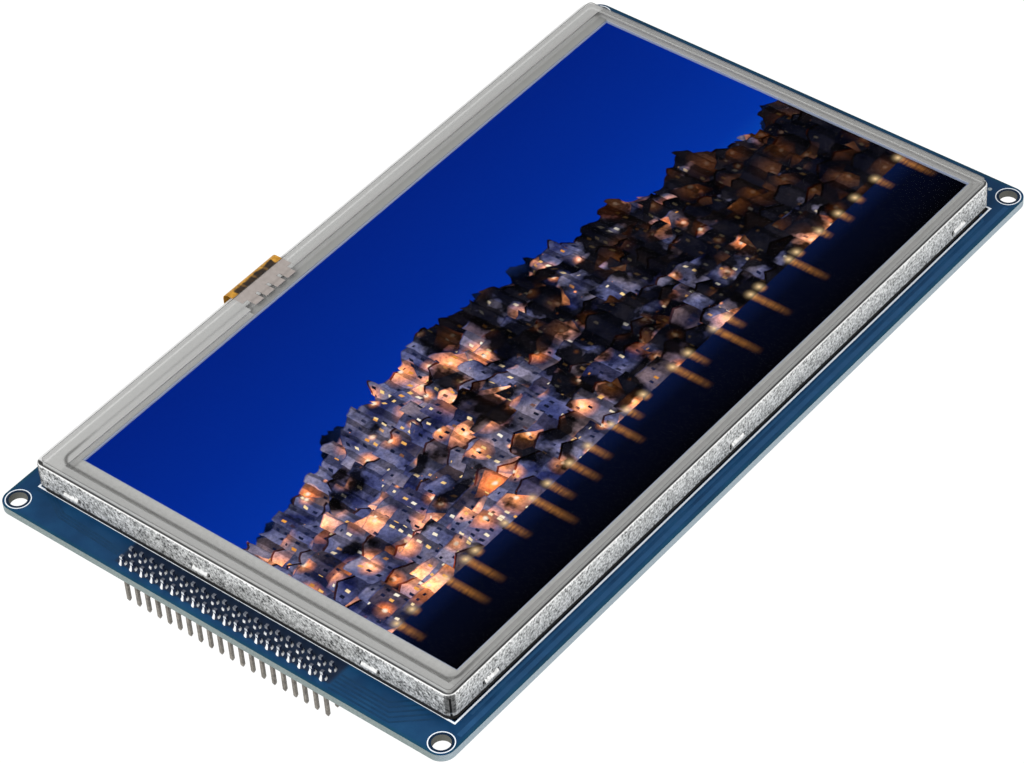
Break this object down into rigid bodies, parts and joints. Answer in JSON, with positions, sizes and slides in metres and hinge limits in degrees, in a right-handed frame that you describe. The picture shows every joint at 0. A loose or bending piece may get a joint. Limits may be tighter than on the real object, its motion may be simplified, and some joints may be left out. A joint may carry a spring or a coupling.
{
  "type": "lcd display module",
  "caption": "Colour display module: steel-framed LCD panel with resistive touch film on a driver board with a pin header and corner holes.",
  "frame": {"origin": "centre of the four corner holes, on the underside of the board", "axes": "+X along the long side with the pin header at -X, +Y towards the touch ribbon, +Z out of the screen"},
  "size_m": [0.181, 0.108, 0.0182],
  "materials": {
    "solder_mask": "blue solder mask on glass-fibre board, satin",
    "foam_black": "black foam tape",
    "bezel_steel": "galvanised sheet steel, fine spangle",
    "polariser": "dark polariser film; the lit picture shows through it",
    "cell_glass": "thin clear glass",
    "chip_silicon": "bare silicon",
    "ribbon_amber": "amber polyimide ribbon with copper conductors",
    "light_film": "white diffuser and reflector film",
    "light_guide": "clear acrylic",
    "led_flex": "polyimide strip",
    "led_white": "white LED with yellow phosphor",
    "frame_plastic": "black moulded plastic",
    "tape_dark": "dark double-sided tape",
    "touch_glass": "clear float glass",
    "touch_seal": "translucent border adhesive and printed tracks",
    "touch_film": "clear polyester film, satin hard coat",
    "header_plastic": "black moulded plastic",
    "pin_metal": "tinned brass",
    "solder": "bright solder and tinned leads",
    "chip_epoxy": "black moulding compound",
    "ferrite": "sintered ferrite, dull grey",
    "ceramic_pale": "pale ceramic",
    "ceramic_tan": "tan capacitor ceramic",
    "can_steel": "nickel-plated sheet steel",
    "socket_plastic": "ivory moulded plastic",
    "lock_plastic": "dark moulded plastic",
    "contact_gold": "gold-plated copper alloy",
    "card_plastic": "black moulded plastic"
  },
  "bodies": {
    "module": {"board": "solder_mask", "panel_tape": "foam_black", "lcd_bezel": "bezel_steel", "front_polariser": "polariser", "colour_filter_glass": "cell_glass", "thin_film_glass": "cell_glass", "rear_polariser": "polariser", "driver_chips": "chip_silicon", "lcd_ribbon": "ribbon_amber", "film_stack": "light_film", "light_guide": "light_guide", "reflector": "light_film", "led_strip": "led_flex", "leds": "led_white", "light_frame": "frame_plastic", "rear_pan": "bezel_steel", "touch_tape": "tape_dark", "touch_glass": "touch_glass", "touch_seal": "touch_seal", "touch_film": "touch_film", "touch_tail": "ribbon_amber", "header_base": "header_plastic", "header_pins": "pin_metal", "header_solder": "solder", "controller_body": "chip_epoxy", "controller_leads": "solder", "touch_chip_body": "chip_epoxy", "touch_chip_leads": "solder", "flash_body": "chip_epoxy", "flash_leads": "solder", "regulator_body": "chip_epoxy", "regulator_leads": "solder", "boost_chip_body": "chip_epoxy", "boost_chip_leads": "solder", "power_inductor": "ferrite", "diode_body": "chip_epoxy", "diode_leads": "solder", "crystal_base": "ceramic_pale", "crystal_can": "can_steel", "capacitor_bodies": "ceramic_tan", "capacitor_ends": "solder", "resistor_bodies": "chip_epoxy", "resistor_ends": "solder", "card_socket_base": "card_plastic", "card_socket_contacts": "contact_gold", "card_socket_shell": "can_steel", "lcd_connector_body": "socket_plastic", "lcd_connector_contacts": "contact_gold", "touch_connector_body": "socket_plastic", "touch_connector_contacts": "contact_gold"},
    "lcd_lock": {"lcd_connector_lock": "lock_plastic"},
    "touch_lock": {"touch_connector_lock": "lock_plastic"}
  },
  "joints": [
    {"name": "lcd_lock_slide", "type": "slide", "parent": "module", "child": "lcd_lock", "axis": [0, 1, 0], "range_m": [0, 0.0012]},
    {"name": "touch_lock_slide", "type": "slide", "parent": "module", "child": "touch_lock", "axis": [0, 1, 0], "range_m": [0, 0.0012]}
  ]
}
